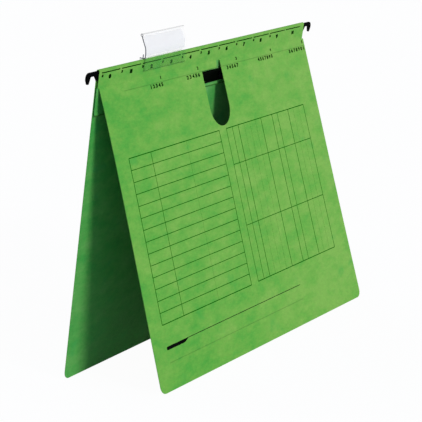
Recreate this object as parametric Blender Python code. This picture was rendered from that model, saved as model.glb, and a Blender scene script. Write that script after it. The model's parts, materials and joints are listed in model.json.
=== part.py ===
"""Hanging fastener folder: a card file on a steel rail, with a paper fastener inside and a clip-on tab.

Metres, +Z up. The folder stands open like a tent on the lower edges of its two covers, front towards -Y.
The origin is on the floor under the middle of the whole folder.
"""
from math import atan2, cos, pi, radians, sin, sqrt

import bmesh
import bpy
from mathutils import Matrix, Vector

# Card
CARD = 0.0004
CLEAR = 0.0003
COVER_WIDTH = 0.318
FRONT_LENGTH = 0.222
FRONT_SHIFT = 0.0020
FRONT_TILT = radians(14.0)
BACK_TILT = radians(7.9)
CORNER_RADIUS = 0.006
CREASE_GAP = 0.00015

# Spine band, the sleeve of card that is folded over the rail
BAND_HEIGHT = 0.0135

# Hanging rail, a flat steel strip with a hook at each end
RAIL_THICKNESS = 0.0012
RAIL_BODY_HEIGHT = 0.0071
ARM_HEIGHT = 0.0031
HOOK_REACH = 0.0151
HOOK_DROP = 0.0082
HOOK_ROUND = 0.0034
HOOK_SHOULDER = 0.0048
HOOK_SHOULDER_ROUND = 0.0018
HOOK_TIP_WIDTH = 0.0018
HOOK_TIP_ROUND = 0.0007
SEAT_INNER = 0.0045
SEAT_WIDTH = 0.0052
SEAT_ROUND = 0.0006
FLANK_FOOT = 0.0012

# Cut-outs of the front cover
SECOND_CREASE = 0.006
GRIP_CENTRE = -0.0012
GRIP_WIDTH = 0.0305
GRIP_DEPTH = 0.0442
GRIP_POINT_WIDTH = 0.0074
GRIP_POINT_TIP = 0.0053
GRIP_POINT_ROUND = 0.0012
POINT_ROUND_LIMIT = 0.4
GRIP_POINT_MARGIN = 0.0005
SLIT_INSET = 0.0172
SLIT_RISE = 0.0314
SLIT_LENGTH = 0.205
SLIT_HEIGHT = 0.0005
THUMB_LENGTH = 0.025
THUMB_HEIGHT = 0.0026
THUMB_TAPER = 0.005
THUMB_ROUND = 0.001
THUMB_ROUND_LIMIT = 0.45
TAPE = 0.00015
TAPE_OVERLAP = 0.003

# Paper fastener
STRIP_LENGTH = 0.020
HOLE_PITCH = 0.080
PRONG_THICKNESS = 0.00025
PRONG_WIDTH = 0.005
PRONG_FOLD = 0.022
BAR_RISE = 0.0036
BAR_HEIGHT = 0.009
BAR_LENGTH = 0.112
BAR_METAL = 0.0003
BAR_LIP = 0.0012
LOCK_LENGTH = 0.010
LOCK_METAL = 0.00025
LOCK_OVERLAP = 0.001
LOCK_RIDGE_LENGTH = 0.002
LOCK_RIDGE_HEIGHT = 0.0007

# Clip-on tab and its label
TAB_LENGTH = 0.059
TAB_CENTRE = -0.0704
TAB_WALL = 0.0008
TAB_SKIRT = 0.0085
TAB_REAR_LEG = 0.006
TAB_HEIGHT = 0.0185
TAB_LEAN = 0.0042
TAB_BEAD_RADIUS = 0.0011
TAB_BEAD_WALL = 0.0005
TAB_CHANNEL_HEIGHT = 0.0026
LABEL_CARD = 0.00025
LABEL_INSET = 0.0016

# Facets
ARC_STEPS = 8
CURVE_STEPS = 16
CUT_MARGIN = 0.002

# The tab's wall follows a cubic curve: how far up and how far forward its two handles reach
TAB_LOWER_HANDLE = (0.0009, 0.0085)
TAB_UPPER_HANDLE = (0.0026, 0.0068)

# Layers counted forward from the inner face of the back cover
RAIL_GAP = RAIL_THICKNESS + 2 * CLEAR
PINCH_FRONT = CLEAR + CARD
STRIP_BACK = PINCH_FRONT + CLEAR
STRIP_FRONT = STRIP_BACK + CARD
PRONG_BASE = STRIP_BACK / 2
BAR_BACK = STRIP_FRONT + CLEAR
BAR_WEB_FRONT = BAR_BACK + BAR_METAL
FOLD_BACK = BAR_WEB_FRONT + CLEAR
FOLD_FRONT = FOLD_BACK + PRONG_THICKNESS
LOCK_BACK = FOLD_FRONT + CLEAR
LOCK_FRONT = LOCK_BACK + LOCK_METAL
LIP_BACK = LOCK_FRONT + CLEAR
LIP_FRONT = LIP_BACK + BAR_METAL
CREASE_FORWARD = STRIP_FRONT + CLEAR + CARD + CREASE_GAP

# Heights along the back cover, counted up from the crease of the front cover
FOLD_CENTRE = BAND_HEIGHT - CARD - RAIL_GAP / 2
RAIL_TOP = FOLD_CENTRE + sqrt((RAIL_GAP / 2) ** 2 - (RAIL_THICKNESS / 2) ** 2) - CLEAR
RAIL_BOTTOM = RAIL_TOP - RAIL_BODY_HEIGHT
PINCH_TOP = RAIL_BOTTOM - CLEAR
BAR_BOTTOM = -STRIP_LENGTH + BAR_RISE
BAR_MIDDLE = BAR_BOTTOM + BAR_HEIGHT / 2

# Standing heights: both covers rest on the floor with their lower edges
CREASE_HEIGHT = FRONT_LENGTH * cos(FRONT_TILT) + (CREASE_GAP + CARD) * sin(FRONT_TILT)
BACK_HEIGHT = CREASE_HEIGHT + CREASE_FORWARD * sin(BACK_TILT)
BACK_LENGTH = BACK_HEIGHT / cos(BACK_TILT)
FRONT_REACH = CREASE_FORWARD * cos(BACK_TILT) - CREASE_GAP * cos(FRONT_TILT) + FRONT_LENGTH * sin(FRONT_TILT)
BACK_REACH = CARD * cos(BACK_TILT) + BACK_LENGTH * sin(BACK_TILT)
BACK_Y = (FRONT_REACH - BACK_REACH) / 2
CREASE_Y = BACK_Y - CREASE_FORWARD * cos(BACK_TILT)

# Turns from an outline's own plane to a frame with +X along the spine, -Y forward and +Z up
FACE_TURN = Matrix(((1, 0, 0), (0, 0, -1), (0, 1, 0)))
PROFILE_TURN = Matrix(((0, 0, -1), (-1, 0, 0), (0, 1, 0)))
EDGE_TURN = Matrix(((1, 0, 0), (0, -1, 0), (0, 0, -1)))


def arc(centre, radius, start, end, steps=ARC_STEPS):
    """Points on a circle from one angle to another."""
    angles = [start + (end - start) * step / steps for step in range(steps + 1)]
    return [(centre[0] + radius * cos(angle), centre[1] + radius * sin(angle)) for angle in angles]


def rounded(corners):
    """Closed outline through (x, y, radius) corners, each rounded with its own radius."""
    outline = []
    for index, (x, y, radius) in enumerate(corners):
        corner = Vector((x, y))
        if radius == 0:
            outline.append((x, y))
            continue
        before = (Vector(corners[index - 1][:2]) - corner).normalized()
        after = (Vector(corners[(index + 1) % len(corners)][:2]) - corner).normalized()
        half = before.angle(after) / 2
        run = radius * cos(half) / sin(half)
        centre = corner + (before + after).normalized() * (radius / sin(half))
        first = corner + before * run - centre
        last = corner + after * run - centre
        start = atan2(first.y, first.x)
        sweep = (atan2(last.y, last.x) - start + pi) % (2 * pi) - pi
        outline += arc(centre, radius, start, start + sweep)
    return outline


def offset(path, distance):
    """Open path moved sideways to its left by a distance, with mitred corners."""
    points = [Vector(point) for point in path]
    moved = []
    for index, point in enumerate(points):
        ahead = (points[min(index + 1, len(points) - 1)] - points[min(index, len(points) - 2)]).normalized()
        behind = (points[max(index, 1)] - points[max(index, 1) - 1]).normalized()
        left = Vector((-ahead.y - behind.y, ahead.x + behind.x)).normalized()
        stretch = left.dot(Vector((-ahead.y, ahead.x)))
        moved.append(tuple(point + left * (distance / stretch)))
    return moved


def ribbon(path, thickness):
    """Closed outline of a strip of even thickness along a path."""
    return offset(path, thickness / 2) + offset(path, -thickness / 2)[::-1]


def bezier(start, first_handle, second_handle, end):
    """Points along a cubic curve."""
    points = []
    for step in range(CURVE_STEPS + 1):
        t = step / CURVE_STEPS
        weights = ((1 - t) ** 3, 3 * t * (1 - t) ** 2, 3 * t * t * (1 - t), t ** 3)
        controls = (start, first_handle, second_handle, end)
        points.append(tuple(sum(w * c[axis] for w, c in zip(weights, controls)) for axis in (0, 1)))
    return points


def extruded_mesh(name, loops, depth):
    """Closed mesh of a flat outline, with any holes, extruded evenly to both sides."""
    curve = bpy.data.curves.new(name, "CURVE")
    curve.dimensions = "2D"
    curve.fill_mode = "BOTH"
    curve.extrude = depth / 2
    for loop in loops:
        spline = curve.splines.new("POLY")
        spline.points.add(len(loop) - 1)
        for point, (x, y) in zip(spline.points, loop):
            point.co = (x, y, 0, 1)
        spline.use_cyclic_u = True
    holder = bpy.data.objects.new(name, curve)
    bpy.context.scene.collection.objects.link(holder)
    mesh = bpy.data.meshes.new_from_object(holder.evaluated_get(bpy.context.evaluated_depsgraph_get()))
    bpy.data.objects.remove(holder)
    bpy.data.curves.remove(curve)
    work = bmesh.new()
    work.from_mesh(mesh)
    bmesh.ops.remove_doubles(work, verts=work.verts, dist=1e-6)
    bmesh.ops.recalc_face_normals(work, faces=work.faces)
    work.to_mesh(mesh)
    work.free()
    mesh.name = name
    return mesh


def solid(name, loops, depth, turn, middle, parent, collection, material=None):
    """Object of an extruded outline, turned into its parent's frame with its middle at a point there."""
    mesh = extruded_mesh(name, loops, depth)
    mesh.transform(Matrix.Translation(middle) @ turn.to_4x4())
    piece = bpy.data.objects.new(name, mesh)
    piece.parent = parent
    collection.objects.link(piece)
    if material:
        mesh.materials.append(material)
    return piece


def cutter(name, loops, depth, turn, middle, parent, collection):
    """Tool for a cut, drawn as a wire and left out of the finished object."""
    tool = solid(name, loops, depth, turn, middle, parent, collection)
    tool.hide_render = True
    tool.display_type = "WIRE"
    return tool


def combine(piece, tool, operation):
    """Boolean of a piece with a tool."""
    modifier = piece.modifiers.new(tool.name, "BOOLEAN")
    modifier.operation = operation
    modifier.solver = "EXACT"
    modifier.object = tool


def principled(name, colour, roughness, metallic=0.0, alpha=1.0):
    """Plain material with a colour, roughness and metallic value."""
    material = bpy.data.materials.new(name)
    material.use_nodes = True
    shader = material.node_tree.nodes["Principled BSDF"]
    shader.inputs["Base Color"].default_value = (*colour, 1.0)
    shader.inputs["Roughness"].default_value = roughness
    shader.inputs["Metallic"].default_value = metallic
    shader.inputs["Alpha"].default_value = alpha
    return material


def rectangle(left, right, bottom, top):
    """Four corners of an upright rectangle."""
    return [(left, bottom), (right, bottom), (right, top), (left, top)]


def make_back_cover(frame, parts, cutters):
    """Back cover and spine band: one sheet, folded over the rail and pinched in below it."""
    back = -CARD / 2
    front = RAIL_GAP + CARD / 2
    fold = arc((RAIL_GAP / 2, FOLD_CENTRE), (RAIL_GAP + CARD) / 2, pi, 0)
    path = [(back, -BACK_LENGTH), *fold, (front, PINCH_TOP), (CLEAR + CARD / 2, CREASE_GAP)]
    card = principled("back_cover", (0.10, 0.36, 0.08), 0.75)
    sheet = ribbon(path, CARD)
    cover = solid("back_cover", [sheet], COVER_WIDTH, PROFILE_TURN, (0, 0, 0), frame, parts, card)
    half = COVER_WIDTH / 2
    for side, name in ((-1, "left"), (1, "right")):
        centre = (half - CORNER_RADIUS, CORNER_RADIUS - BACK_LENGTH)
        corner = arc(centre, CORNER_RADIUS, 0, -pi / 2)
        corner += [(centre[0], -BACK_LENGTH - CUT_MARGIN), (half + CUT_MARGIN, -BACK_LENGTH - CUT_MARGIN),
                   (half + CUT_MARGIN, centre[1])]
        loop = [(side * x, z) for x, z in corner]
        depth = CARD + 2 * CUT_MARGIN
        tool = cutter(f"{name}_corner_cut", [loop], depth, FACE_TURN, (0, 0, 0), frame, cutters)
        combine(cover, tool, "DIFFERENCE")


def make_front_cover(frame, parts):
    """Front cover: a sheet that hangs from the crease, with a grip hole, its notch and a long slit."""
    half = COVER_WIDTH / 2
    sheet = rounded([(-half, -CREASE_GAP, 0), (half, -CREASE_GAP, 0),
                     (half, -FRONT_LENGTH, CORNER_RADIUS), (-half, -FRONT_LENGTH, CORNER_RADIUS)])
    radius = GRIP_WIDTH / 2
    grip_bottom = -SECOND_CREASE - GRIP_DEPTH
    point_round = min(GRIP_POINT_ROUND, POINT_ROUND_LIMIT * GRIP_POINT_TIP)
    side = GRIP_CENTRE + radius
    grip = rounded([(GRIP_CENTRE - radius, -SECOND_CREASE, 0), (side - GRIP_POINT_WIDTH, -SECOND_CREASE, 0),
                    (side - GRIP_POINT_TIP, -GRIP_POINT_MARGIN, point_round),
                    (side, -GRIP_POINT_MARGIN, point_round), (side, grip_bottom + radius, 0)])
    grip += arc((GRIP_CENTRE, grip_bottom + radius), radius, 0, -pi, 2 * ARC_STEPS)[1:]
    left = SLIT_INSET - half
    top = SLIT_RISE - FRONT_LENGTH
    shoulder = left + THUMB_LENGTH
    right = left + SLIT_LENGTH
    end_round = min(THUMB_ROUND, THUMB_ROUND_LIMIT * THUMB_HEIGHT)
    slit = rounded([(left, top, end_round), (right, top, 0), (right, top - SLIT_HEIGHT, 0),
                    (shoulder + THUMB_TAPER, top - SLIT_HEIGHT, 0), (shoulder, top - THUMB_HEIGHT, 0),
                    (left, top - THUMB_HEIGHT, end_round)])
    card = principled("front_cover", (0.13, 0.45, 0.08), 0.75)
    middle = (0, CREASE_GAP + CARD / 2, 0)
    solid("front_cover", [sheet, grip, slit], CARD, FACE_TURN, middle, frame, parts, card)


def make_slit_tape(frame, parts):
    """Dark tape on the inner face of the front cover that backs the slit and its thumb opening."""
    left = SLIT_INSET - COVER_WIDTH / 2
    top = SLIT_RISE - FRONT_LENGTH
    loop = rectangle(left - TAPE_OVERLAP, left + SLIT_LENGTH + TAPE_OVERLAP,
                     top - THUMB_HEIGHT - TAPE_OVERLAP, top + TAPE_OVERLAP)
    tape = principled("slit_tape", (0.010, 0.012, 0.010), 0.85)
    middle = (0, CREASE_GAP + CARD + CLEAR + TAPE / 2, 0)
    solid("slit_tape", [loop], TAPE, FACE_TURN, middle, frame, parts, tape)


def make_hanging_rail(frame, parts):
    """Hanging rail: a flat strip whose ends stand out of the band and turn down as hooks."""
    end = COVER_WIDTH / 2
    tip = RAIL_TOP - HOOK_DROP
    seat = RAIL_TOP - ARM_HEIGHT
    seat_outer = SEAT_INNER + SEAT_WIDTH
    tip_middle = end + (seat_outer + HOOK_REACH) / 2
    right = [(end + FLANK_FOOT, RAIL_BOTTOM, SEAT_ROUND), (end + SEAT_INNER, seat, SEAT_ROUND),
             (end + seat_outer, seat, SEAT_ROUND), (tip_middle - HOOK_TIP_WIDTH / 2, tip, HOOK_TIP_ROUND),
             (tip_middle + HOOK_TIP_WIDTH / 2, tip, HOOK_TIP_ROUND),
             (end + HOOK_REACH, RAIL_TOP - HOOK_SHOULDER, HOOK_SHOULDER_ROUND),
             (end + HOOK_REACH, RAIL_TOP, HOOK_ROUND)]
    left = [(-x, z, radius) for x, z, radius in reversed(right)]
    steel = principled("hanging_rail", (0.012, 0.012, 0.013), 0.4, 0.3)
    middle = (0, -RAIL_GAP / 2, 0)
    solid("hanging_rail", [rounded(right + left)], RAIL_THICKNESS, FACE_TURN, middle, frame, parts, steel)


def make_fastener_strip(frame, parts):
    """Card strip that carries the fastener, with a slot for each prong."""
    half = COVER_WIDTH / 2
    loops = [rectangle(-half, half, -STRIP_LENGTH, 0)]
    for x in (-HOLE_PITCH / 2, HOLE_PITCH / 2):
        loops.append(prong_slot(x))
    card = principled("fastener_strip", (0.10, 0.38, 0.08), 0.75)
    middle = (0, -(STRIP_BACK + STRIP_FRONT) / 2, 0)
    solid("fastener_strip", loops, CARD, FACE_TURN, middle, frame, parts, card)


def prong_slot(x):
    """Outline of the slot that one prong passes through."""
    across = PRONG_THICKNESS / 2 + CLEAR
    along = PRONG_WIDTH / 2 + CLEAR
    return rectangle(x - across, x + across, BAR_MIDDLE - along, BAR_MIDDLE + along)


def make_fastener_prongs(frame, parts):
    """Two prongs on one base: a band of spring steel that comes through strip and bar and folds inward."""
    pitch = HOLE_PITCH / 2
    fold = (FOLD_BACK + FOLD_FRONT) / 2
    path = [(PRONG_FOLD - pitch, fold), (-pitch, fold), (-pitch, PRONG_BASE),
            (pitch, PRONG_BASE), (pitch, fold), (pitch - PRONG_FOLD, fold)]
    steel = principled("fastener_prongs", (0.55, 0.55, 0.56), 0.3, 1.0)
    middle = (0, 0, BAR_MIDDLE)
    band = ribbon(path, PRONG_THICKNESS)
    solid("fastener_prongs", [band], PRONG_WIDTH, EDGE_TURN, middle, frame, parts, steel)


def make_compressor_bar(frame, parts, cutters):
    """Pressed bar over the papers: a shallow channel with inturned lips and a slot for each prong."""
    lip = (LIP_BACK + LIP_FRONT) / 2
    web = (BAR_BACK + BAR_WEB_FRONT) / 2
    low = BAR_BOTTOM + BAR_METAL / 2
    high = BAR_BOTTOM + BAR_HEIGHT - BAR_METAL / 2
    path = [(lip, low + BAR_LIP), (lip, low), (web, low), (web, high), (lip, high), (lip, high - BAR_LIP)]
    paint = principled("compressor_bar", (0.012, 0.012, 0.013), 0.45)
    channel = ribbon(path, BAR_METAL)
    bar = solid("compressor_bar", [channel], BAR_LENGTH, PROFILE_TURN, (0, 0, 0), frame, parts, paint)
    for side, name in ((-1, "left"), (1, "right")):
        loop = prong_slot(side * HOLE_PITCH / 2)
        depth = BAR_METAL + 2 * CLEAR
        tool = cutter(f"{name}_prong_cut", [loop], depth, FACE_TURN, (0, -web, 0), frame, cutters)
        combine(bar, tool, "DIFFERENCE")


def make_slide_lock(name, side, frame, parts, cutters):
    """Sliding lock under the bar's lips, over the tip of a folded prong, with a ridge for the thumb."""
    tip = HOLE_PITCH / 2 - PRONG_FOLD
    centre = side * (tip - LOCK_OVERLAP + LOCK_LENGTH / 2)
    plate_half = BAR_HEIGHT / 2 - BAR_METAL - CLEAR
    ridge_half = BAR_HEIGHT / 2 - BAR_METAL - BAR_LIP - CLEAR
    plate = rectangle(-LOCK_LENGTH / 2, LOCK_LENGTH / 2, -plate_half, plate_half)
    ridge = rectangle(-LOCK_RIDGE_LENGTH / 2, LOCK_RIDGE_LENGTH / 2, -ridge_half, ridge_half)
    axis = bpy.data.objects.new(f"{name}_axis", None)
    axis.location = (centre, -LOCK_BACK, BAR_MIDDLE)
    axis.parent = frame
    parts.objects.link(axis)
    paint = principled(name, (0.03, 0.03, 0.032), 0.4)
    lock = solid(name, [plate], LOCK_METAL, FACE_TURN, (0, -LOCK_METAL / 2, 0), axis, parts, paint)
    depth = LOCK_METAL / 2 + LOCK_RIDGE_HEIGHT
    middle = (0, -LOCK_METAL / 2 - depth / 2, 0)
    combine(lock, cutter(f"{name}_ridge", [ridge], depth, FACE_TURN, middle, axis, cutters), "UNION")


def tab_wall_path():
    """Middle line of the tab's leaning wall, from the clip to the bead, as (forward, up) points."""
    base = (RAIL_GAP + CARD + CLEAR + TAB_WALL / 2, BAND_HEIGHT + CLEAR + TAB_WALL / 2)
    top = (base[0] - TAB_LEAN, BAND_HEIGHT + TAB_HEIGHT - 2 * TAB_BEAD_RADIUS)
    lower = (base[0] + TAB_LOWER_HANDLE[0], base[1] + TAB_LOWER_HANDLE[1])
    upper = (top[0] + TAB_UPPER_HANDLE[0], top[1] - TAB_UPPER_HANDLE[1])
    return bezier(base, lower, upper, top)


def make_tab(frame, parts):
    """Clear tab: an extrusion clipped over the band, with a leaning wall, a hollow bead and a channel."""
    wall = tab_wall_path()
    front = offset(wall, -TAB_WALL / 2)
    rear = offset(wall, TAB_WALL / 2)
    rise = (Vector(wall[-1]) - Vector(wall[-2])).normalized()
    centre = Vector(wall[-1]) + rise * sqrt(TAB_BEAD_RADIUS ** 2 - (TAB_WALL / 2) ** 2)
    start = atan2(front[-1][1] - centre.y, front[-1][0] - centre.x)
    end = atan2(rear[-1][1] - centre.y, rear[-1][0] - centre.x) % (2 * pi)
    bead = arc(centre, TAB_BEAD_RADIUS, start, end, 2 * ARC_STEPS)[1:-1]
    bore = arc(centre, TAB_BEAD_RADIUS - TAB_BEAD_WALL, 0, 2 * pi, 2 * ARC_STEPS)[:-1]
    skirt_back = RAIL_GAP + CARD + CLEAR
    skirt_front = skirt_back + TAB_WALL
    bridge_under = BAND_HEIGHT + CLEAR
    bridge_top = bridge_under + TAB_WALL
    channel_front = skirt_back - LABEL_CARD - 2 * CLEAR
    channel_back = channel_front - TAB_WALL
    leg_front = -CARD - CLEAR
    leg_back = leg_front - TAB_WALL
    channel_top = bridge_top + TAB_CHANNEL_HEIGHT
    skirt_foot = BAND_HEIGHT - TAB_SKIRT
    leg_foot = BAND_HEIGHT - TAB_REAR_LEG
    first_above = next(index for index, point in enumerate(rear) if point[1] > bridge_top)
    outline = [(skirt_front, skirt_foot), *front, *bead, *rear[:first_above - 1:-1],
               (skirt_back, bridge_top), (channel_front, bridge_top), (channel_front, channel_top),
               (channel_back, channel_top), (channel_back, bridge_top), (leg_back, bridge_top),
               (leg_back, leg_foot), (leg_front, leg_foot), (leg_front, bridge_under),
               (skirt_back, bridge_under), (skirt_back, skirt_foot)]
    clear = principled("tab_holder", (0.9, 0.92, 0.95), 0.08, 0.0, 0.3)
    solid("tab_holder", [outline, bore], TAB_LENGTH, PROFILE_TURN, (0, 0, 0), frame, parts, clear)
    label_line = offset(wall, TAB_WALL / 2 + CLEAR + LABEL_CARD / 2)
    label_line = [point for point in label_line if point[1] > bridge_top + CLEAR]
    paper = principled("tab_label", (0.86, 0.86, 0.87), 0.7)
    length = TAB_LENGTH - 2 * LABEL_INSET
    solid("tab_label", [ribbon(label_line, LABEL_CARD)], length, PROFILE_TURN, (0, 0, 0), frame, parts, paper)


def empty(name, location, tilt, collection, parent=None):
    """Frame for a group of pieces, turned about the spine."""
    frame = bpy.data.objects.new(name, None)
    frame.location = location
    frame.rotation_euler = (tilt, 0, 0)
    frame.parent = parent
    collection.objects.link(frame)
    return frame


def main():
    for item in list(bpy.data.objects):
        bpy.data.objects.remove(item)
    parts = bpy.data.collections.new("fastener_folder")
    cutters = bpy.data.collections.new("cutters")
    for collection in (parts, cutters):
        bpy.context.scene.collection.children.link(collection)
    back_frame = empty("back_frame", (0, BACK_Y, BACK_HEIGHT), BACK_TILT, parts)
    front_frame = empty("front_crease", (FRONT_SHIFT, CREASE_Y, CREASE_HEIGHT), -FRONT_TILT, parts)
    tab_frame = empty("tab_frame", (TAB_CENTRE, 0, 0), 0, parts, back_frame)
    make_back_cover(back_frame, parts, cutters)
    make_hanging_rail(back_frame, parts)
    make_fastener_strip(back_frame, parts)
    make_fastener_prongs(back_frame, parts)
    make_compressor_bar(back_frame, parts, cutters)
    make_slide_lock("lock_left", -1, back_frame, parts, cutters)
    make_slide_lock("lock_right", 1, back_frame, parts, cutters)
    make_front_cover(front_frame, parts)
    make_slit_tape(front_frame, parts)
    make_tab(tab_frame, parts)
    bpy.context.view_layer.update()


main()
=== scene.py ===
"""Looks of a hanging fastener folder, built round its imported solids.

Metres, in the frame of the solids. The folder stands open like a tent, its front cover towards -Y.
"""
import json
from math import cos, radians, sin

import bmesh
import bpy
from mathutils import Matrix, Vector


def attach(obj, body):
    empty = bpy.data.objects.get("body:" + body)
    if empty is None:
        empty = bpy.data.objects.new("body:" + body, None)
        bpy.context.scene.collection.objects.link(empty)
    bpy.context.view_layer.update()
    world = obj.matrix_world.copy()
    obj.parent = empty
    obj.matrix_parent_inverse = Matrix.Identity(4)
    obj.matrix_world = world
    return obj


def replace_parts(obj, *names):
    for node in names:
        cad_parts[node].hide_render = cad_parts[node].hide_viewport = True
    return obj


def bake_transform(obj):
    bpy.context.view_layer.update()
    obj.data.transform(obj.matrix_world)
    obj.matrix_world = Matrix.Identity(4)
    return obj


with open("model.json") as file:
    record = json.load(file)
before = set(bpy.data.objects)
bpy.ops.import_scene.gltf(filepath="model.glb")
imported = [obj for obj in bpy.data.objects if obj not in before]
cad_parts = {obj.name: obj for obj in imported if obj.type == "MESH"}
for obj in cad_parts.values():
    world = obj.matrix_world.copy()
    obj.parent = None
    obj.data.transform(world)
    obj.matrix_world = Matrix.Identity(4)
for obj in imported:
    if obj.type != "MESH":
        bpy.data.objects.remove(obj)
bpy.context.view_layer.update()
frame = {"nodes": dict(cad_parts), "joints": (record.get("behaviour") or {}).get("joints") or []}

MM = 0.001

# Card sheets, as the solids have them; faces past the inner share of the thickness are inner ones
CARD = 0.4 * MM
CARD_WIDTH = 318 * MM
FRONT_LENGTH = 222 * MM
FRONT_SHIFT = 2 * MM
FRONT_TILT = radians(-14.0)
BACK_TILT = radians(7.9)
CREASE_GAP = 0.15 * MM
CREASE_FORWARD = 2.25 * MM
BAND_FACE = 2.2 * MM
BAND_FOOT = 2.1 * MM
PINCH_TOP = 5.17 * MM
PINCH_SHIFT = 1.4 * MM
INNER_SHARE = 0.75

# Clear tab, whose looks change at this height above the crease and this far in from its shade-painted rims
TAB_SKIRT_TOP = 13.9 * MM
TAB_RIM = 0.6 * MM

# How the front cover's card has bent in use, forwards at its left and right edges
SHEET_STEP = 6 * MM
LEFT_BOW = 5.8 * MM
RIGHT_BOW = 2.5 * MM
LEFT_TWIST = -4.4 * MM
RIGHT_TWIST = 3.4 * MM

# Scored lines across the front cover
SCORE_WIDTH = 0.7 * MM
SCORE_DEPTH = 0.15 * MM
UPPER_SCORE = 5.9 * MM
LOWER_SCORE = 202.5 * MM
LOWER_SCORE_ENDS = (17.2 * MM, 222.2 * MM)
UPPER_SCORE_START = 28 * MM

# Where the walls of the slit lie, from the left edge and below the crease
SLIT_ENDS = (16 * MM, 223 * MM)
SLIT_DOWNS = (190 * MM, 196 * MM)

# Fastener strip, whose free lower edge stands off the back cover and carries a painted shadow line
STRIP_LENGTH = 20 * MM
FLARE_HEIGHT = 3.4 * MM
FLARE = 0.9 * MM
STRIP_SHADOW_HEIGHT = 0.7 * MM

# Edges sharper than the first angle are rounded, and those sharper than the second are shaded sharp
SHARP_EDGE = radians(40)
SHARP_SHADE = radians(30)

# Printing: the ink's thickness and its lift off the card, and the widths of its lines
INK_FILM = 0.02 * MM
INK_LIFT = 0.015 * MM
BOLD_LINE = 0.66 * MM
MEDIUM_LINE = 0.52 * MM
FAINT_LINE = 0.10 * MM

# A figure's height as a share of its type size, and how far its outline swells as a share of its height
FIGURE_SHARE = 0.7
FIGURE_OFFSET = 0.055

# Sockets of a node that mixes colours, which share their names with its other sockets
MIX_SHARE, MIX_FIRST, MIX_SECOND, MIX_RESULT = 0, 6, 7, 2

# Floor: half its width, how far it lies below the folder and how much of it shows as plain white
FLOOR_HALF = 20.0
FLOOR_DROP = 0.05 * MM
FLOOR_GLOW = 0.97

# Camera, for a square picture of this many pixels
PICTURE = 422
FOCAL_PIXELS = 1901
CAMERA_PLACE = Vector((-1.2618, -0.6917, 0.4161))
CAMERA_TURN = radians(-60.95)
CAMERA_RISE = radians(12.41)
SENSOR = 36.0

half_width = CARD_WIDTH / 2
crease = Vector(next(joint for joint in frame["joints"] if joint["name"] == "front_fold")["pos_m"])
front_place = crease + Vector((FRONT_SHIFT, 0, 0))
front_space = Matrix.Translation(front_place) @ Matrix.Rotation(FRONT_TILT, 4, "X")
back_turn = Matrix.Rotation(BACK_TILT, 4, "X")
back_space = Matrix.Translation(crease) @ back_turn @ Matrix.Translation((0, CREASE_FORWARD, 0))
# From a drawing with x to the right, y up and z towards the viewer to a space with -Y towards the viewer
FACING = Matrix(((1, 0, 0, 0), (0, 0, -1, 0), (0, 1, 0, 0), (0, 0, 0, 1)))


# Materials


def new_material(name):
    """Material with a Principled shader, as (material, its nodes, its links, the shader)."""
    material = bpy.data.materials.new(name)
    material.use_nodes = True
    tree = material.node_tree
    return material, tree.nodes, tree.links, tree.nodes["Principled BSDF"]


def place_in_object(nodes, links, stretch=(1, 1, 1)):
    """Socket with the place on the piece, stretched along its axes."""
    place = nodes.new("ShaderNodeTexCoord")
    mapping = nodes.new("ShaderNodeMapping")
    mapping.inputs["Scale"].default_value = stretch
    links.new(place.outputs["Object"], mapping.inputs["Vector"])
    return mapping.outputs["Vector"]


def noise(nodes, links, vector, scale, detail, roughness):
    """Socket with cloudy noise from 0 to 1, mostly near a half."""
    texture = nodes.new("ShaderNodeTexNoise")
    texture.inputs["Scale"].default_value = scale
    texture.inputs["Detail"].default_value = detail
    texture.inputs["Roughness"].default_value = roughness
    links.new(vector, texture.inputs["Vector"])
    return texture.outputs["Fac"]


def weighted(nodes, links, first, second, share):
    """Socket with a share of the second value and the rest of the first."""
    mix = nodes.new("ShaderNodeMix")
    mix.inputs["Factor"].default_value = share
    links.new(first, mix.inputs["A"])
    links.new(second, mix.inputs["B"])
    return mix.outputs["Result"]


def ramp(nodes, links, value, stops):
    """Socket with colours at places along a value."""
    node = nodes.new("ShaderNodeValToRGB")
    elements = node.color_ramp.elements
    while len(elements) < len(stops):
        elements.new(0.5)
    for element, (place, colour) in zip(elements, stops):
        element.position = place
        element.color = (*colour, 1.0)
    links.new(value, node.inputs["Fac"])
    return node.outputs["Color"]


def added(nodes, links, first, second):
    """Socket with the sum of two values."""
    node = nodes.new("ShaderNodeMath")
    links.new(first, node.inputs[0])
    links.new(second, node.inputs[1])
    return node.outputs["Value"]


def spread(nodes, links, value, low, high, inner=(0.3, 0.7)):
    """Socket with a value carried from one range to another."""
    node = nodes.new("ShaderNodeMapRange")
    node.inputs["From Min"].default_value = inner[0]
    node.inputs["From Max"].default_value = inner[1]
    node.inputs["To Min"].default_value = low
    node.inputs["To Max"].default_value = high
    links.new(value, node.inputs["Value"])
    return node.outputs["Result"]


def roughen(nodes, links, shader, height, strength, distance):
    """Bump from a height on a shader."""
    bump = nodes.new("ShaderNodeBump")
    bump.inputs["Strength"].default_value = strength
    bump.inputs["Distance"].default_value = distance
    links.new(height, bump.inputs["Height"])
    links.new(bump.outputs["Normal"], shader.inputs["Normal"])


def tint(nodes, links, colour, value, amount):
    """Socket with a colour made lighter and darker by a value."""
    node = nodes.new("ShaderNodeHueSaturation")
    links.new(colour, node.inputs["Color"])
    links.new(spread(nodes, links, value, 1 - amount, 1 + amount), node.inputs["Value"])
    return node.outputs["Color"]


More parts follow.
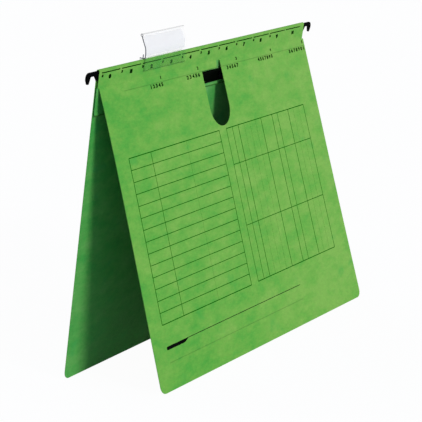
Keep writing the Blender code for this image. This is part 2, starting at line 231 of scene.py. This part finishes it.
def card_material(name, shade=(1.0, 1.0, 1.0)):
    """Marbled pressboard: blotches, broad clouds, a slow drift to yellow, bluish spots and fine fibre."""
    material, nodes, links, shader = new_material(name)

    # A shade other than one gives a darker or tinted copy of the card, used for painted shade
    def shaded(colour):
        return [part * share for part, share in zip(colour, shade)]

    along = place_in_object(nodes, links, (0.5, 1, 1))
    clouds = noise(nodes, links, along, scale=28, detail=2.0, roughness=0.5)
    blotches = noise(nodes, links, along, scale=96, detail=5.0, roughness=0.7)
    grain = noise(nodes, links, along, scale=520, detail=2.0, roughness=0.6)
    lengthwise = place_in_object(nodes, links, (0.35, 1, 1))
    fibre = noise(nodes, links, lengthwise, scale=1500, detail=3.0, roughness=0.6)
    sides = nodes.new("ShaderNodeSeparateXYZ")
    links.new(place_in_object(nodes, links), sides.inputs["Vector"])
    drift = spread(nodes, links, sides.outputs["X"], -0.032, 0.1, (-0.16, 0.16))
    marbling = added(nodes, links, weighted(nodes, links, clouds, blotches, 0.68), drift)
    greens = ((0.36, (0.076, 0.372, 0.036)), (0.45, (0.120, 0.404, 0.044)),
              (0.54, (0.164, 0.430, 0.053)), (0.64, (0.216, 0.458, 0.069)))
    colour = ramp(nodes, links, marbling, [(place, shaded(green)) for place, green in greens])
    colour = tint(nodes, links, colour, grain, 0.05)
    scattered = place_in_object(nodes, links, (0.8, 1.1, 1.0))
    spots = noise(nodes, links, scattered, scale=61, detail=2.0, roughness=0.5)
    spot_share = spread(nodes, links, spots, 0.0, 0.45, (0.63, 0.76))
    stained = nodes.new("ShaderNodeMix")
    stained.data_type = "RGBA"
    stained.inputs[MIX_SECOND].default_value = (*shaded((0.052, 0.375, 0.048)), 1.0)
    links.new(spot_share, stained.inputs[MIX_SHARE])
    links.new(colour, stained.inputs[MIX_FIRST])
    colour = tint(nodes, links, stained.outputs[MIX_RESULT], fibre, 0.05)
    links.new(colour, shader.inputs["Base Color"])
    links.new(spread(nodes, links, blotches, 0.74, 0.86), shader.inputs["Roughness"])
    shader.inputs["Specular IOR Level"].default_value = 0.3
    roughen(nodes, links, shader, fibre, 0.25, 0.06 * MM)
    return material


def ink_material(name, dark, light):
    """Green printing ink, a little uneven where the card took less of it."""
    material, nodes, links, shader = new_material(name)
    cover = noise(nodes, links, place_in_object(nodes, links), scale=1800, detail=3.0, roughness=0.6)
    colour = ramp(nodes, links, cover, [(0.35, dark), (0.7, light)])
    links.new(colour, shader.inputs["Base Color"])
    links.new(spread(nodes, links, cover, 0.5, 0.7), shader.inputs["Roughness"])
    shader.inputs["Specular IOR Level"].default_value = 0.0
    return material


def paint_material(name, dark, light, gloss):
    """Black stoved paint with an orange-peel skin and slightly rubbed patches."""
    material, nodes, links, shader = new_material(name)
    place = place_in_object(nodes, links)
    rubbed = noise(nodes, links, place, scale=160, detail=4.0, roughness=0.65)
    peel = noise(nodes, links, place, scale=1400, detail=2.0, roughness=0.5)
    links.new(ramp(nodes, links, rubbed, [(0.4, dark), (0.72, light)]), shader.inputs["Base Color"])
    links.new(spread(nodes, links, rubbed, gloss - 0.06, gloss + 0.1), shader.inputs["Roughness"])
    shader.inputs["Specular IOR Level"].default_value = 0.005
    roughen(nodes, links, shader, peel, 0.2, 0.03 * MM)
    return material


def tape_material():
    """Near-black backing behind the slit, painted shade for the dark inside of the folder, with a plain
    weave and a matt, slightly dusty face.
    """
    material, nodes, links, shader = new_material("slit_shade_backing")
    threads = []
    for axis in ("X", "Z"):
        wave = nodes.new("ShaderNodeTexWave")
        wave.bands_direction = axis
        wave.inputs["Scale"].default_value = 620
        wave.inputs["Distortion"].default_value = 0.6
        links.new(place_in_object(nodes, links), wave.inputs["Vector"])
        threads.append(wave.outputs["Fac"])
    weave = weighted(nodes, links, *threads, 0.5)
    dust = noise(nodes, links, place_in_object(nodes, links), scale=300, detail=4.0, roughness=0.6)
    colour = ramp(nodes, links, dust, [(0.4, (0.0012, 0.002, 0.0012)), (0.75, (0.005, 0.007, 0.005))])
    links.new(tint(nodes, links, colour, weave, 0.2), shader.inputs["Base Color"])
    links.new(spread(nodes, links, dust, 0.8, 0.95), shader.inputs["Roughness"])
    shader.inputs["Specular IOR Level"].default_value = 0.02
    roughen(nodes, links, shader, weave, 0.4, 0.05 * MM)
    return material


def steel_material():
    """Bright rolled spring steel with fine lines along its length."""
    material, nodes, links, shader = new_material("spring_steel")
    lengthwise = place_in_object(nodes, links, (0.03, 1, 1))
    lines = noise(nodes, links, lengthwise, scale=4000, detail=2.0, roughness=0.6)
    colour = ramp(nodes, links, lines, [(0.3, (0.46, 0.46, 0.47)), (0.7, (0.66, 0.66, 0.67))])
    links.new(colour, shader.inputs["Base Color"])
    links.new(spread(nodes, links, lines, 0.26, 0.42), shader.inputs["Roughness"])
    shader.inputs["Metallic"].default_value = 1.0
    return material


def clear_material(name, colour, alpha, roughness):
    """Clear rigid plastic with faint drawing lines, as clear as its alpha says."""
    material, nodes, links, shader = new_material(name)
    lengthwise = place_in_object(nodes, links, (0.02, 1, 1))
    lines = noise(nodes, links, lengthwise, scale=2500, detail=2.0, roughness=0.5)
    shades = [(0.3, [0.85 * part for part in colour]), (0.7, colour)]
    links.new(ramp(nodes, links, lines, shades), shader.inputs["Base Color"])
    links.new(spread(nodes, links, lines, roughness, roughness + 0.08), shader.inputs["Roughness"])
    shader.inputs["IOR"].default_value = 1.49
    shader.inputs["Alpha"].default_value = alpha
    return material


def paper_material():
    """White label paper with a fine cloudy fibre."""
    material, nodes, links, shader = new_material("label_paper")
    place = place_in_object(nodes, links)
    clouds = noise(nodes, links, place, scale=260, detail=4.0, roughness=0.6)
    fibre = noise(nodes, links, place, scale=2600, detail=3.0, roughness=0.6)
    colour = ramp(nodes, links, clouds, [(0.35, (0.98, 0.925, 0.82)), (0.65, (0.995, 0.95, 0.85))])
    links.new(tint(nodes, links, colour, fibre, 0.02), shader.inputs["Base Color"])
    links.new(spread(nodes, links, clouds, 0.6, 0.75), shader.inputs["Roughness"])
    roughen(nodes, links, shader, fibre, 0.15, 0.03 * MM)
    return material


CARD_LOOK = card_material("green_card")
# Darker copy of the card on the scored lines: painted shade in the grooves
SCORE_SHADE_LOOK = card_material("green_card_score_shade", (0.74, 0.77, 0.74))
# Much darker copy of the card along the strip's lower edge: a painted shadow line
STRIP_SHADOW_LOOK = card_material("green_card_strip_shadow", (0.3, 0.4, 0.4))
# Bluer copy of the card for inner faces: painted shade, standing in for the bluish shade inside the folder
INNER_SHADE_LOOK = card_material("green_card_inner_shade", (0.70, 0.96, 1.55))
# Near-black copy of the card on the slit's walls: painted shade in the slit
SLIT_SHADE_LOOK = card_material("green_card_slit_shade", (0.03, 0.12, 0.03))
RULING_LOOK = ink_material("ruling_ink", (0.001, 0.11, 0.001), (0.003, 0.16, 0.003))
FIGURE_LOOK = ink_material("figure_ink", (0.0003, 0.024, 0.0003), (0.001, 0.046, 0.001))
RAIL_LOOK = paint_material("rail_black", (0.0006, 0.0007, 0.0009), (0.0022, 0.0024, 0.0028), 0.5)
BAR_LOOK = paint_material("bar_black", (0.0004, 0.0012, 0.0004), (0.0015, 0.0030, 0.0015), 0.55)
LOCK_LOOK = paint_material("lock_black", (0.004, 0.004, 0.0045), (0.012, 0.012, 0.013), 0.45)
STEEL_LOOK = steel_material()
CLEAR_LOOK = clear_material("clear_plastic", (0.60, 0.61, 0.61), 0.014, 0.08)
CLEAR_SKIRT_LOOK = clear_material("clear_plastic_on_card", (0.16, 0.56, 0.10), 0.12, 0.35)
# Darker clear plastic on the bead's top, the cut end and the skirt's rims: painted shade of the plastic's
# edges
CLEAR_BEAD_SHADE_LOOK = clear_material("clear_plastic_bead_shade", (0.10, 0.11, 0.11), 0.2, 0.2)
CLEAR_END_SHADE_LOOK = clear_material("clear_plastic_end_shade", (0.03, 0.04, 0.06), 0.95, 0.2)
CLEAR_FOOT_SHADE_LOOK = clear_material("clear_plastic_foot_shade", (0.02, 0.14, 0.03), 0.2, 0.35)
PAPER_LOOK = paper_material()
# Near-black backing behind the slit: a dark sheet that paints the shade seen through the slit
SLIT_SHADE_BACKING_LOOK = tape_material()


# Shapes


def shape_of(node):
    """Shape of a solid with its flat faces whole, to work on."""
    work = bmesh.new()
    work.from_mesh(frame["nodes"][node].data)
    bmesh.ops.remove_doubles(work, verts=work.verts, dist=1e-6)
    bmesh.ops.dissolve_limit(work, angle_limit=radians(0.5), verts=work.verts, edges=work.edges)
    return work


def piece_of(work, name, materials, body):
    """Finished object from a worked shape, shaded smooth apart from its sharp edges, riding on a body."""
    bmesh.ops.recalc_face_normals(work, faces=work.faces)
    mesh = bpy.data.meshes.new(name)
    work.to_mesh(mesh)
    work.free()
    mesh.shade_smooth()
    mesh.set_sharp_from_angle(angle=SHARP_SHADE)
    for material in materials:
        mesh.materials.append(material)
    piece = bpy.data.objects.new(name, mesh)
    bpy.context.scene.collection.objects.link(piece)
    if body:
        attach(piece, body)
    return piece


def cut_at(work, place, normal):
    """Edges across a shape where a plane meets it."""
    everything = [*work.verts, *work.edges, *work.faces]
    bmesh.ops.bisect_plane(work, geom=everything, dist=1e-7, plane_co=place, plane_no=normal)


def cut_grid(work, downs):
    """Edges across a shape every few millimetres sideways, and at heights below the crease."""
    steps = round(CARD_WIDTH / SHEET_STEP)
    for step in range(1, steps):
        cut_at(work, (step * CARD_WIDTH / steps - half_width, 0, 0), (1, 0, 0))
    for down in downs:
        cut_at(work, (0, 0, -down), (0, 0, 1))


def front_heights():
    """Heights below the crease at which the front cover is cut, close together at its scored lines."""
    steps = round(FRONT_LENGTH / SHEET_STEP)
    heights = [step * FRONT_LENGTH / steps for step in range(1, steps)]
    for score in (UPPER_SCORE, LOWER_SCORE):
        heights += [score - SCORE_WIDTH / 2, score, score + SCORE_WIDTH / 2]
    return heights


def front_bend(x, down):
    """How far forward the front cover's card has bent, bowed in its upper half and twisted lower down."""
    across = x / CARD_WIDTH + 0.5
    share = min(1.0, max(0.0, down / FRONT_LENGTH))
    bow = LEFT_BOW + (RIGHT_BOW - LEFT_BOW) * across
    twist = LEFT_TWIST + (RIGHT_TWIST - LEFT_TWIST) * across
    return bow * share * (1 - share) ** 3 + twist * share ** 1.5


def score_at(x, down):
    """How far a scored line is pressed into the front cover."""
    across = x + half_width
    touch = 0.01 * MM
    if abs(down - UPPER_SCORE) < touch and across > UPPER_SCORE_START:
        return SCORE_DEPTH
    if abs(down - LOWER_SCORE) < touch and LOWER_SCORE_ENDS[0] <= across <= LOWER_SCORE_ENDS[1]:
        return SCORE_DEPTH
    return 0.0


def bend_front(work):
    """Bends a flat shape in the front cover's own space with the card and takes it into the part's frame."""
    forward = front_space.to_3x3().inverted() @ Vector((0, -1, 0))
    for vertex in work.verts:
        x, down = vertex.co.x, -vertex.co.z
        vertex.co += forward * front_bend(x, down) + Vector((0, score_at(x, down), 0))
    work.transform(front_space)


def front_shape(node):
    """Shape of a solid on the front cover, in the cover's own space and cut so that it can bend."""
    work = shape_of(node)
    work.transform(front_space.inverted())
    cut_grid(work, front_heights())
    return work


def in_score(place):
    """Whether a place in the front cover's own space is on the outer face of a scored line, where shade is
    painted.
    """
    across = place.x + half_width
    in_upper = abs(place.z + UPPER_SCORE) < SCORE_WIDTH / 2 and across > UPPER_SCORE_START
    beside_lower = abs(place.z + LOWER_SCORE) < SCORE_WIDTH / 2
    in_lower = beside_lower and LOWER_SCORE_ENDS[0] <= across <= LOWER_SCORE_ENDS[1]
    return (in_upper or in_lower) and place.y < CREASE_GAP + CARD / 2


def in_slit(normal, place):
    """Whether a face of the front cover, in the cover's own space, is a wall of the slit, where shade is
    painted.
    """
    beside = SLIT_ENDS[0] < place.x + half_width < SLIT_ENDS[1]
    return beside and SLIT_DOWNS[0] < -place.z < SLIT_DOWNS[1] and abs(normal.y) < 0.5


def front_look(normal, middle):
    """Look of a face of the front cover, by its direction and its middle in the cover's own space."""
    # The slit's walls get painted shade
    if in_slit(normal, middle):
        return SLIT_SHADE_LOOK
    # Inner faces get the bluer card of painted shade
    if middle.y > CREASE_GAP + INNER_SHARE * CARD:
        return INNER_SHADE_LOOK
    # The outer faces of the scored lines get painted shade
    return SCORE_SHADE_LOOK if in_score(middle) else CARD_LOOK


def make_front_sheet():
    """Front cover: the solid's sheet, bowed a little along its open edge and scored twice."""
    work = front_shape("front_cover")
    work.normal_update()
    looks = [CARD_LOOK, SCORE_SHADE_LOOK, INNER_SHADE_LOOK, SLIT_SHADE_LOOK]
    for face in work.faces:
        look = front_look(face.normal, face.calc_center_median())
        face.material_index = looks.index(look)
    bend_front(work)
    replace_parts(piece_of(work, "front_sheet", looks, "front"), "front_cover")


def make_tape():
    """Near-black backing behind the slit, painted shade for the dark inside of the folder, bowed with the
    front cover.
    """
    work = front_shape("slit_tape")
    bend_front(work)
    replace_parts(piece_of(work, "tape", [SLIT_SHADE_BACKING_LOOK], "front"), "slit_tape")


def make_back_sheet():
    """Back cover and spine band, with the band's front wall straight down to the crease."""
    work = shape_of("back_cover")
    work.transform(back_space.inverted())
    cut_grid(work, [step * SHEET_STEP for step in range(round(FRONT_LENGTH / SHEET_STEP))])
    # The back cover's inner face gets the bluer card of painted shade
    looks = [CARD_LOOK, INNER_SHADE_LOOK]
    for face in work.faces:
        middle = face.calc_center_median()
        inside = middle.z < 0 and abs(middle.y) < CARD / 4
        face.material_index = looks.index(INNER_SHADE_LOOK if inside else CARD_LOOK)
    for vertex in work.verts:
        z = vertex.co.z
        if -CREASE_GAP < z < PINCH_TOP and vertex.co.y < -CARD / 2:
            vertex.co.y -= PINCH_SHIFT * (PINCH_TOP - z) / (PINCH_TOP - CREASE_GAP)
    work.transform(back_space)
    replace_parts(piece_of(work, "back_sheet", looks, "rear"), "back_cover")


def fold_row(share, depth):
    """Point of the crease at a share of the way from the band to the front cover, at a depth in the card."""
    turn = Matrix.Rotation(BACK_TILT + (FRONT_TILT - BACK_TILT) * share, 3, "X")
    return crease + turn @ Vector((0, CREASE_GAP + depth, CREASE_GAP * (1 - 2 * share)))


def make_crease():
    """Fold of card that carries the front cover on the band."""
    rows = 8
    length = CARD_WIDTH - FRONT_SHIFT
    start = FRONT_SHIFT - half_width
    work = bmesh.new()
    columns = round(length / SHEET_STEP)
    loops = []
    for column in range(columns + 1):
        shift = Vector((start + length * column / columns, 0, 0))
        outer = [work.verts.new(fold_row(row / rows, 0) + shift) for row in range(rows + 1)]
        inner = [work.verts.new(fold_row(row / rows, CARD) + shift) for row in range(rows, -1, -1)]
        loops.append(outer + inner)
    for before, after in zip(loops, loops[1:]):
        for index in range(len(before)):
            corners = (before[index - 1], before[index], after[index], after[index - 1])
            work.faces.new(corners)
    work.faces.new(loops[0])
    work.faces.new(loops[-1][::-1])
    fold = piece_of(work, "crease_fold", [CARD_LOOK], None)
    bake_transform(fold)


def make_strip():
    """Fastener strip, its free lower edge bent forward off the back cover and darkened by a painted shadow
    line.
    """
    work = shape_of("fastener_strip")
    work.transform(back_space.inverted())
    steps = 5
    for step in range(steps):
        cut_at(work, (0, 0, FLARE_HEIGHT * (1 - step / steps) - STRIP_LENGTH), (0, 0, 1))
    cut_at(work, (0, 0, STRIP_SHADOW_HEIGHT - STRIP_LENGTH), (0, 0, 1))
    # The lowest band gets the painted shadow line; the rest takes the bluer card of painted shade
    looks = [INNER_SHADE_LOOK, STRIP_SHADOW_LOOK]
    for face in work.faces:
        in_painted_shadow = face.calc_center_median().z < STRIP_SHADOW_HEIGHT - STRIP_LENGTH
        face.material_index = looks.index(STRIP_SHADOW_LOOK if in_painted_shadow else INNER_SHADE_LOOK)
    for vertex in work.verts:
        rise = vertex.co.z + STRIP_LENGTH
        vertex.co.y -= FLARE * max(0.0, 1 - rise / FLARE_HEIGHT) ** 2
    work.transform(back_space)
    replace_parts(piece_of(work, "inner_strip", looks, "rear"), "fastener_strip")


def make_refined(node, name, material, body, rounding=0.0):
    """Rigid piece from its solid, with its sharp edges rounded."""
    work = shape_of(node)
    if rounding:
        sharp = [e for e in work.edges if len(e.link_faces) == 2 and e.calc_face_angle() > SHARP_EDGE]
        bmesh.ops.bevel(work, geom=sharp, offset=rounding, segments=2, profile=0.5, affect="EDGES",
                        clamp_overlap=True)
    piece = piece_of(work, name, [material], body)
    normals = piece.modifiers.new("flat_faces", "WEIGHTED_NORMAL")
    normals.keep_sharp = True
    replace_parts(piece, node)


def tab_look(normal, middle, left, foot, top):
    """Look of a face of the tab, by its direction and its middle in the band's own space."""
    # The cut end, the bead's top and the skirt's rims take the looks of painted shade
    at_end = normal.x < -0.9
    if middle.z > TAB_SKIRT_TOP:
        if at_end:
            return CLEAR_END_SHADE_LOOK
        return CLEAR_BEAD_SHADE_LOOK if middle.z > top - TAB_RIM else CLEAR_LOOK
    at_rim = middle.x < left + 2 * TAB_RIM or middle.z < foot + TAB_RIM
    return CLEAR_FOOT_SHADE_LOOK if at_rim or at_end else CLEAR_SKIRT_LOOK


def make_tab():
    """Clear tab, with shade painted at its left cut end, along its bead and round its skirt."""
    work = shape_of("tab_holder")
    work.transform(back_space.inverted())
    left = min(vertex.co.x for vertex in work.verts)
    top = max(vertex.co.z for vertex in work.verts)
    foot = min(vertex.co.z for vertex in work.verts if vertex.co.y < -BAND_FACE)
    cut_at(work, (left + 2 * TAB_RIM, 0, 0), (1, 0, 0))
    for height in (TAB_SKIRT_TOP, foot + TAB_RIM, top - TAB_RIM):
        cut_at(work, (0, 0, height), (0, 0, 1))
    work.normal_update()
    looks = [CLEAR_LOOK, CLEAR_SKIRT_LOOK, CLEAR_BEAD_SHADE_LOOK, CLEAR_END_SHADE_LOOK, CLEAR_FOOT_SHADE_LOOK]
    for face in work.faces:
        look = tab_look(face.normal, face.calc_center_median(), left, foot, top)
        face.material_index = looks.index(look)
    work.transform(back_space)
    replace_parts(piece_of(work, "tab", looks, "tab"), "tab_holder")


# Printing


def bar_of_ink(work, x, up, width, height):
    """Thin closed bar of ink in a drawing, by its middle and its size."""
    middle = Matrix.Translation((x, up, INK_LIFT + INK_FILM / 2))
    bmesh.ops.create_cube(work, size=1.0, matrix=middle @ Matrix.Diagonal((width, height, INK_FILM, 1.0)))


def across_line(work, left, right, up, width):
    """Line from side to side."""
    bar_of_ink(work, (left + right) / 2, up, right - left, width)


def upright_line(work, x, bottom, top, width):
    """Line from bottom to top."""
    bar_of_ink(work, x, (bottom + top) / 2, width, top - bottom)


def figure_mesh(text, height, spacing):
    """Closed thin mesh of plain figures, centred in height."""
    curve = bpy.data.curves.new("figures", "FONT")
    curve.body = text
    curve.align_y = "CENTER"
    curve.size = height / FIGURE_SHARE
    curve.offset = FIGURE_OFFSET * height
    curve.extrude = INK_FILM / 2
    curve.resolution_u = 4
    curve.space_character = spacing
    holder = bpy.data.objects.new("figures", curve)
    bpy.context.scene.collection.objects.link(holder)
    mesh = bpy.data.meshes.new_from_object(holder.evaluated_get(bpy.context.evaluated_depsgraph_get()))
    bpy.data.objects.remove(holder)
    bpy.data.curves.remove(curve)
    letters = bmesh.new()
    letters.from_mesh(mesh)
    bmesh.ops.remove_doubles(letters, verts=letters.verts, dist=1e-7)
    letters.to_mesh(mesh)
    letters.free()
    return mesh


def figures(work, text, left, right, up, height, bold, spacing=1.15):
    """Plain figures in a drawing, fitted between two ends, and drawn again close by to be bold."""
    mesh = figure_mesh(text, height, spacing)
    xs = [vertex.co.x for vertex in mesh.vertices]
    stretch = (right - left - 2 * bold) / (max(xs) - min(xs))
    start = left + bold - stretch * min(xs)
    mesh.transform(Matrix.Diagonal((stretch, 1, 1, 1)))
    shifts = [(side * bold, rise * bold) for side in (-1, 0, 1) for rise in (-0.5, 0.5)]
    for side, rise in shifts:
        copy = mesh.copy()
        copy.transform(Matrix.Translation((start + side, up + rise, INK_LIFT + INK_FILM / 2)))
        work.from_mesh(copy)
        bpy.data.meshes.remove(copy)
    bpy.data.meshes.remove(mesh)


def on_front(work, name, look):
    """Printing on the front cover, from a drawing with its origin at the upper left corner."""
    work.transform(Matrix.Translation((-half_width, CREASE_GAP, 0)) @ FACING)
    cut_grid(work, front_heights())
    bend_front(work)
    piece_of(work, name, [look], "front")


def on_band(work, name):
    """Printing on the spine band, from a drawing with its origin at the left end of the crease."""
    for vertex in work.verts:
        vertex.co.z += BAND_FOOT + (BAND_FACE - BAND_FOOT) * min(1.0, vertex.co.y / PINCH_TOP)
    work.transform(back_space @ Matrix.Translation((-half_width, 0, 0)) @ FACING)
    piece_of(work, name, [FIGURE_LOOK], "rear")


def print_left_table():
    """Ruled list with three columns."""
    left, right, top, bottom = 17.2 * MM, 148.9 * MM, 52.8 * MM, 174.6 * MM
    rows = 14
    work = bmesh.new()
    for row in range(rows + 1):
        width = BOLD_LINE if row in (0, rows) else MEDIUM_LINE
        across_line(work, left, right, -top - (bottom - top) * row / rows, width)
    uprights = ((left, BOLD_LINE), (47.2 * MM, MEDIUM_LINE), (98.2 * MM, FAINT_LINE), (right, BOLD_LINE))
    for x, width in uprights:
        upright_line(work, x, -bottom, -top, width)
    on_front(work, "print_list_table", RULING_LOOK)


def print_right_table():
    """Ruled grid of narrow columns in three blocks."""
    left, right, top, bottom = 160.0 * MM, 292.4 * MM, 53.0 * MM, 174.2 * MM
    dividers = (top, 81.4 * MM, 129.5 * MM, bottom)
    work = bmesh.new()
    for down in dividers:
        across_line(work, left, right, -down, BOLD_LINE if down in (top, bottom) else MEDIUM_LINE)
    columns = 14
    bold_columns = (2, 6, 8, 11, 14)
    medium_columns = (0, 1, 9)
    open_columns = (7, 10)
    for column in range(columns + 1):
        if column in open_columns:
            continue
        width = FAINT_LINE
        if column in bold_columns:
            width = BOLD_LINE
        elif column in medium_columns:
            width = MEDIUM_LINE
        upright_line(work, left + (right - left) * column / columns, -bottom, -top, width)
    on_front(work, "print_grid_table", RULING_LOOK)


def print_index():
    """Numbers and figure groups along the upper edge of the front cover."""
    work = bmesh.new()
    number_down, number_height, number_bold = 2.9 * MM, 2.2 * MM, 0.08 * MM
    group_down, group_height, group_bold, group_spacing = 8.1 * MM, 2.6 * MM, 0.06 * MM, 1.5
    number_inset, one_width, other_width = 1.4 * MM, 1.0 * MM, 2.0 * MM
    # Each group's left and right end in millimetres, and how many figures it has
    groups = ((66.2, 83.8, 5), (118.6, 138.8, 5), (181.2, 200.2, 5), (233.0, 258.6, 7), (288.0, 315.8, 7))
    for number, (left, right, length) in enumerate(groups, 1):
        middle = right * MM - number_inset
        half = (one_width if number == 1 else other_width) / 2
        figures(work, str(number), middle - half, middle + half, -number_down, number_height, number_bold)
        group = "".join(str((number + place) % 10) for place in range(length))
        figures(work, group, left * MM, right * MM, -group_down, group_height, group_bold, group_spacing)
    on_front(work, "print_index", FIGURE_LOOK)


def print_scale():
    """Broken line, bold numbers and small marks along the spine band."""
    work = bmesh.new()
    first_gap, pitch, numbers, gap = 0.1 * MM, 28.4 * MM, 11, 2.4 * MM
    line_start, line_end, line_up, line_width = 3.2 * MM, CARD_WIDTH - 5.5 * MM, 10.9 * MM, 0.8 * MM
    mark_place, mark_up, mark_height, mark_half, mark_bold = 1.8 * MM, 8.6 * MM, 1.6 * MM, 1.2 * MM, 0.2 * MM
    number_up, number_height, number_bold = 7.1 * MM, 2.5 * MM, 0.35 * MM
    one_figure_half, two_figures_half = 1.7 * MM, 2.1 * MM
    for index in range(numbers):
        x = first_gap + pitch * index
        left = max(x + gap / 2, line_start)
        across_line(work, left, min(x + pitch - gap / 2, line_end), line_up, line_width)
        if index < numbers - 1:
            mark = max(x + mark_place, line_start + mark_half)
            figures(work, "5", mark - mark_half, mark + mark_half, mark_up, mark_height, mark_bold)
        middle = x + pitch / 2
        half = one_figure_half if index < 10 else two_figures_half
        figures(work, str(index), middle - half, middle + half, number_up, number_height, number_bold)
    on_band(work, "print_scale")


make_front_sheet()
make_back_sheet()
make_crease()
make_tape()
make_strip()
make_refined("hanging_rail", "rail", RAIL_LOOK, "rear", rounding=0.2 * MM)
make_refined("compressor_bar", "bar", BAR_LOOK, "rear", rounding=0.08 * MM)
make_refined("fastener_prongs", "prongs", STEEL_LOOK, "rear", rounding=0.06 * MM)
make_refined("lock_left", "left_slide", LOCK_LOOK, "left_lock", rounding=0.06 * MM)
make_refined("lock_right", "right_slide", LOCK_LOOK, "right_lock", rounding=0.06 * MM)
make_tab()
make_refined("tab_label", "label_slip", PAPER_LOOK, "label")
print_left_table()
print_right_table()
print_index()
print_scale()


# Floor, light and camera


def camera_like(nodes, links):
    """Socket that is 1 for rays that show the background: from the camera, off gloss or through glass."""
    path = nodes.new("ShaderNodeLightPath")
    total = path.outputs["Is Camera Ray"]
    for name in ("Is Glossy Ray", "Is Transmission Ray"):
        either = nodes.new("ShaderNodeMath")
        either.operation = "MAXIMUM"
        links.new(total, either.inputs[0])
        links.new(path.outputs[name], either.inputs[1])
        total = either.outputs["Value"]
    return total


def make_floor():
    """Wide white floor that keeps a faint shadow of the folder."""
    work = bmesh.new()
    bmesh.ops.create_grid(work, x_segments=1, y_segments=1, size=FLOOR_HALF)
    mesh = bpy.data.meshes.new("floor")
    work.to_mesh(mesh)
    work.free()
    floor = bpy.data.objects.new("floor", mesh)
    floor.location.z = -FLOOR_DROP
    bpy.context.scene.collection.objects.link(floor)
    material, nodes, links, shader = new_material("floor_white")
    shader.inputs["Base Color"].default_value = (0.86, 0.9, 0.94, 1.0)
    shader.inputs["Roughness"].default_value = 0.9
    shader.inputs["Specular IOR Level"].default_value = 0.0
    glow = nodes.new("ShaderNodeEmission")
    share = nodes.new("ShaderNodeMath")
    share.operation = "MULTIPLY"
    share.inputs[1].default_value = FLOOR_GLOW
    links.new(camera_like(nodes, links), share.inputs[0])
    mix = nodes.new("ShaderNodeMixShader")
    links.new(share.outputs["Value"], mix.inputs["Fac"])
    links.new(shader.outputs["BSDF"], mix.inputs[1])
    links.new(glow.outputs["Emission"], mix.inputs[2])
    links.new(mix.outputs["Shader"], nodes["Material Output"].inputs["Surface"])
    mesh.materials.append(material)


def make_world():
    """Soft even light from all round, on a white background."""
    world = bpy.data.worlds.new("studio")
    world.use_nodes = True
    bpy.context.scene.world = world
    nodes, links = world.node_tree.nodes, world.node_tree.links
    ambient = nodes["Background"]
    ambient.inputs["Color"].default_value = (0.72, 0.95, 1.5, 1.0)
    ambient.inputs["Strength"].default_value = 0.35
    white = nodes.new("ShaderNodeBackground")
    white.inputs["Color"].default_value = (1.0, 1.0, 1.0, 1.0)
    mix = nodes.new("ShaderNodeMixShader")
    links.new(camera_like(nodes, links), mix.inputs["Fac"])
    links.new(ambient.outputs["Background"], mix.inputs[1])
    links.new(white.outputs["Background"], mix.inputs[2])
    links.new(mix.outputs["Shader"], nodes["World Output"].inputs["Surface"])


def direction(turn, rise):
    """Unit vector from the object towards a place round it, by azimuth and elevation."""
    return Vector((sin(turn) * cos(rise), -cos(turn) * cos(rise), sin(rise)))


def make_lamp(name, turn, rise, strength, width):
    """Distant soft lamp, a little warm."""
    lamp = bpy.data.lights.new(name, "SUN")
    lamp.color = (1.0, 0.97, 0.93)
    lamp.energy = strength
    lamp.angle = width
    holder = bpy.data.objects.new(name, lamp)
    holder.rotation_mode = "QUATERNION"
    holder.rotation_quaternion = (-direction(turn, rise)).to_track_quat("-Z", "Y")
    bpy.context.scene.collection.objects.link(holder)


def make_camera():
    """Camera at the picture's angle, for a square frame."""
    camera = bpy.data.cameras.new("camera")
    camera.sensor_width = SENSOR
    camera.lens = FOCAL_PIXELS / PICTURE * SENSOR
    holder = bpy.data.objects.new("camera", camera)
    holder.location = CAMERA_PLACE
    holder.rotation_mode = "QUATERNION"
    holder.rotation_quaternion = (-direction(CAMERA_TURN, CAMERA_RISE)).to_track_quat("-Z", "Y")
    bpy.context.scene.collection.objects.link(holder)
    bpy.context.scene.camera = holder


make_floor()
make_world()
make_lamp("key", turn=radians(-15.5), rise=radians(22), strength=1.85, width=radians(16))
make_lamp("fill", turn=radians(165), rise=radians(35), strength=0.6, width=radians(40))
make_camera()
bpy.context.scene.view_settings.view_transform = "Standard"
